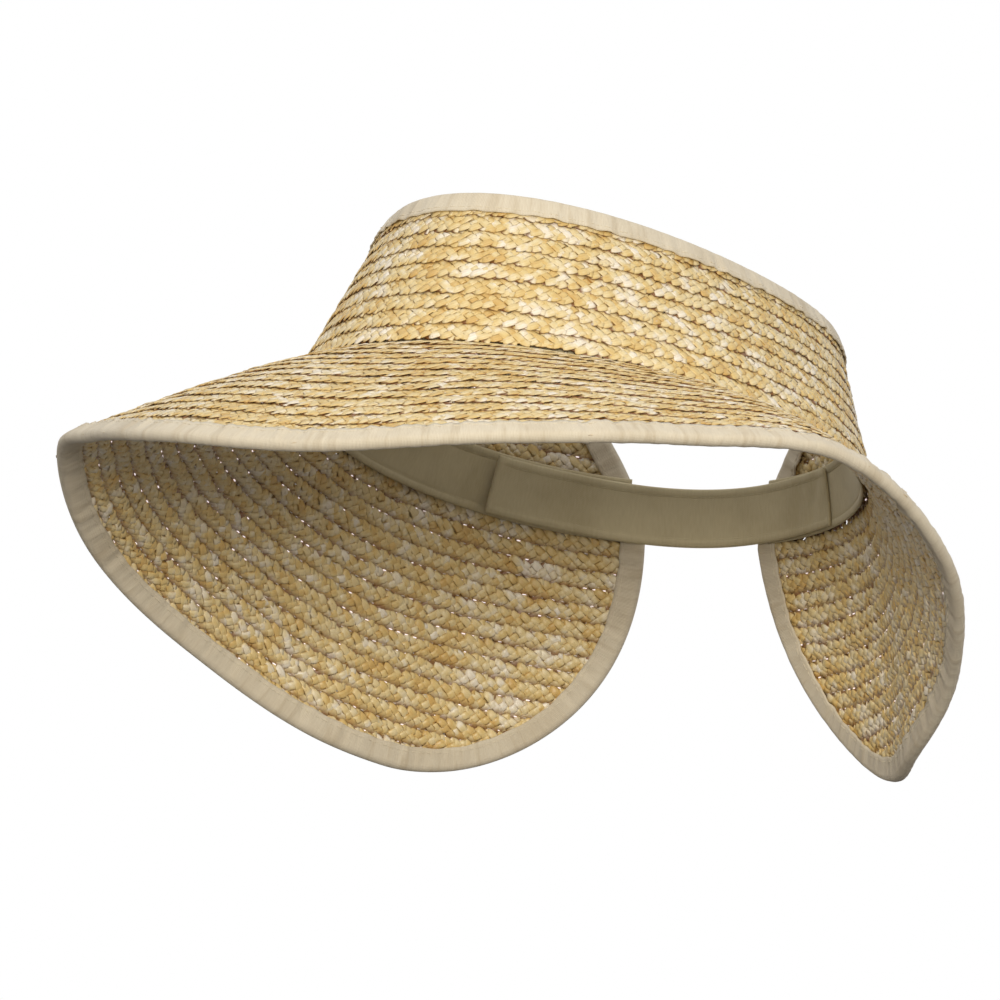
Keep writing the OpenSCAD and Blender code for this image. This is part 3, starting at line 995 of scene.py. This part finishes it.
def thornShape(name, bent):
    points, faces = [], []
    if bent:
        path = [(0, 0), (0, 0.0003), (0.0001, 0.00045), (0.00025, 0.00042), (0.00028, 0.0003)]
    else:
        path = [(-0.0003, 0), (-0.00022, 0.0002), (0, 0.0003), (0.00022, 0.0002), (0.0003, 0)]
    thick = 0.00011 if bent else 0.00005
    for i, (x, z) in enumerate(path):
        for j in range(4):
            angle = math.pi / 2 * j
            points.append((x + math.cos(angle) * thick * 0.5, math.sin(angle) * thick * 0.5, z + 0.00001 * i))
        if i:
            faces += [((i - 1) * 4 + j, (i - 1) * 4 + (j + 1) % 4, i * 4 + (j + 1) % 4, i * 4 + j)
                      for j in range(4)]
    faces += [(3, 2, 1, 0), tuple(16 + j for j in range(4))]
    return meshObject(name, points, faces)


def pileTree():
    g, inp = newTree("pile", {"Density": "Float", "Seed": "Int", "One": "Object", "Finish": "Material"})
    piled = g.node("GeometryNodeInputNamedAttribute", {"data_type": "FLOAT"}, {"Name": "piled"}) > 0.9
    spots = g.node("GeometryNodeDistributePointsOnFaces", None,
                   {"Mesh": inp, "Selection": piled, "Density": inp.out("Density"), "Seed": inp.out("Seed")})
    one = g.node("GeometryNodeObjectInfo", {"transform_space": "ORIGINAL"},
                 {"Object": inp.out("One")}, out="Geometry")
    turned = g.node("FunctionNodeRandomValue", {"data_type": "FLOAT_VECTOR"},
                    {0: (-0.25, -0.25, 0.0), 1: (0.25, 0.25, 6.28), "Seed": inp.out("Seed")})
    placed = g.node("GeometryNodeInstanceOnPoints", None,
                    {"Points": spots, "Instance": one, "Rotation": g.node(
                        "FunctionNodeRotateRotation", {"rotation_space": "LOCAL"},
                        {0: spots.out("Rotation"), 1: turned})})
    tinted = g.node("GeometryNodeStoreNamedAttribute", {"data_type": "FLOAT", "domain": "INSTANCE"}, {
        "Geometry": placed, "Name": "tint", "Value": g.node(
            "FunctionNodeRandomValue", {"data_type": "FLOAT"}, {2: 0.0, 3: 1.0, "Seed": 4}, out=1)})
    joined = g.node("GeometryNodeJoinGeometry", None, {0: inp})
    loose = g.node("GeometryNodeRealizeInstances", None, {0: tinted})
    g.tree.links.new(loose.socket, joined.socket.node.inputs[0])
    return closeTree(g, joined, inp.out("Finish"))


# Hooks are bent thorns on the inner face of their strip, and loops are arches on the outer face of theirs
def makeFastener(name, node, face, margin, onInner, bent, density, body, tree):
    turns = evenBand(cloth["hookFrom"] - margin, cloth["hookTo"] + margin, 0.0015)
    rise = np.linspace(cloth["strapLow"] + cloth["hookMargin"], cloth["strapHigh"] - cloth["hookMargin"], 9)
    t, z = np.meshgrid(turns, rise, indexing="ij")
    inner = crownPoint(t, z, face - cloth["tapeThick"] + 0 * t)
    outer = crownPoint(t, z, face - 0.0002 + 0 * t)
    piled = np.concatenate([np.full(t.size, float(onInner)), np.full(t.size, float(not onInner))])
    host = slab(name + "_base", inner, outer, [("piled", "FLOAT", piled)])
    one = thornShape(name + "_one", bent)
    made = grow(host, tree, {"Density": density, "Seed": 3, "One": one, "Finish": finishes["pile"]}, name)
    discard(host, one)
    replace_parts(made, node)
    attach(made, body)


pileNodes = pileTree()
makeFastener("hook_strip", "hook_tape", cloth["hookFace"] + 0.0001, 0.0, True, True, cloth["hookDensity"],
             "visor", pileNodes)
makeFastener("loop_strip", "loop_tape", cloth["loopFace"] - 0.0001, 2.0, False, False, cloth["loopDensity"],
             "strap", pileNodes)
print("cloth made")


# Light

sky = {"top": 0.74, "bottom": 0.07, "warm": (1.0, 0.86, 0.7, 1.0), "plain": (1.0, 0.985, 0.96, 1.0)}


def lightTheHat():
    world = bpy.data.worlds.new("studio")
    scene.world = world
    world.use_nodes = True
    g = Graph(world.node_tree)
    out = world.node_tree.nodes["World Output"]
    way = g.node("ShaderNodeTexCoord", out="Generated")
    height = g.node("ShaderNodeSeparateXYZ", None, {0: way}, out="Z")
    level = g.node("ShaderNodeMapRange", {"interpolation_type": "SMOOTHSTEP"},
                   {0: height, 1: -0.6, 2: 0.6, 3: sky["bottom"], 4: sky["top"]})
    warmth = g.node("ShaderNodeMapRange", None, {0: height, 1: -0.8, 2: 0.3, 3: 0.0, 4: 1.0})
    tone = g.node("ShaderNodeMix", {"data_type": "RGBA"}, {0: warmth, 6: sky["warm"], 7: sky["plain"]}, out=2)
    soft = g.node("ShaderNodeBackground", None, {"Color": tone, "Strength": level})
    plain = g.node("ShaderNodeBackground", None, {"Color": (1, 1, 1, 1), "Strength": 1.0})
    seen = g.node("ShaderNodeLightPath", out="Is Camera Ray")
    both = g.node("ShaderNodeMixShader", None, {0: seen, 1: soft, 2: plain})
    world.node_tree.links.new(both.socket, out.inputs[0])


def lamp(name, place, target, size, power, colour=(1.0, 1.0, 1.0)):
    data = bpy.data.lights.new(name, "AREA")
    data.color = colour
    data.shape = "DISK"
    data.size = size
    data.energy = power
    made = bpy.data.objects.new(name, data)
    made.location = place
    made.rotation_euler = (Vector(target) - Vector(place)).to_track_quat("-Z", "Y").to_euler()
    scene.collection.objects.link(made)


def makeFloor():
    f = Finish("pale_floor")
    cloud = f.noise(f.place, 3.0)
    f.set("Base Color", f.mix(cloud, rgb(240, 239, 236), rgb(246, 245, 243)))
    f.set("Roughness", 0.9)
    corners = [(x * 12, y * 12, -1.45) for x, y in ((-1, -1), (1, -1), (1, 1), (-1, 1))]
    floor = meshObject("floor", corners, [(0, 1, 2, 3)])
    floor.data.materials.append(f.material)
    # Light comes from the sky alone, which sets how dark the underside is
    floor.visible_diffuse = False


lightTheHat()
lamp("key", (-0.8, -1.4, 2.2), (0, 0, 0), 1.2, 5)
lamp("fill", (1.1, -2.2, -0.25), (0, 0, -0.03), 0.6, 42, (1.0, 0.94, 0.82))
lamp("glint", (0.5, -1.6, -0.5), (0, 0, 0), 0.06, 0.8)
makeFloor()
print("lights and floor set")
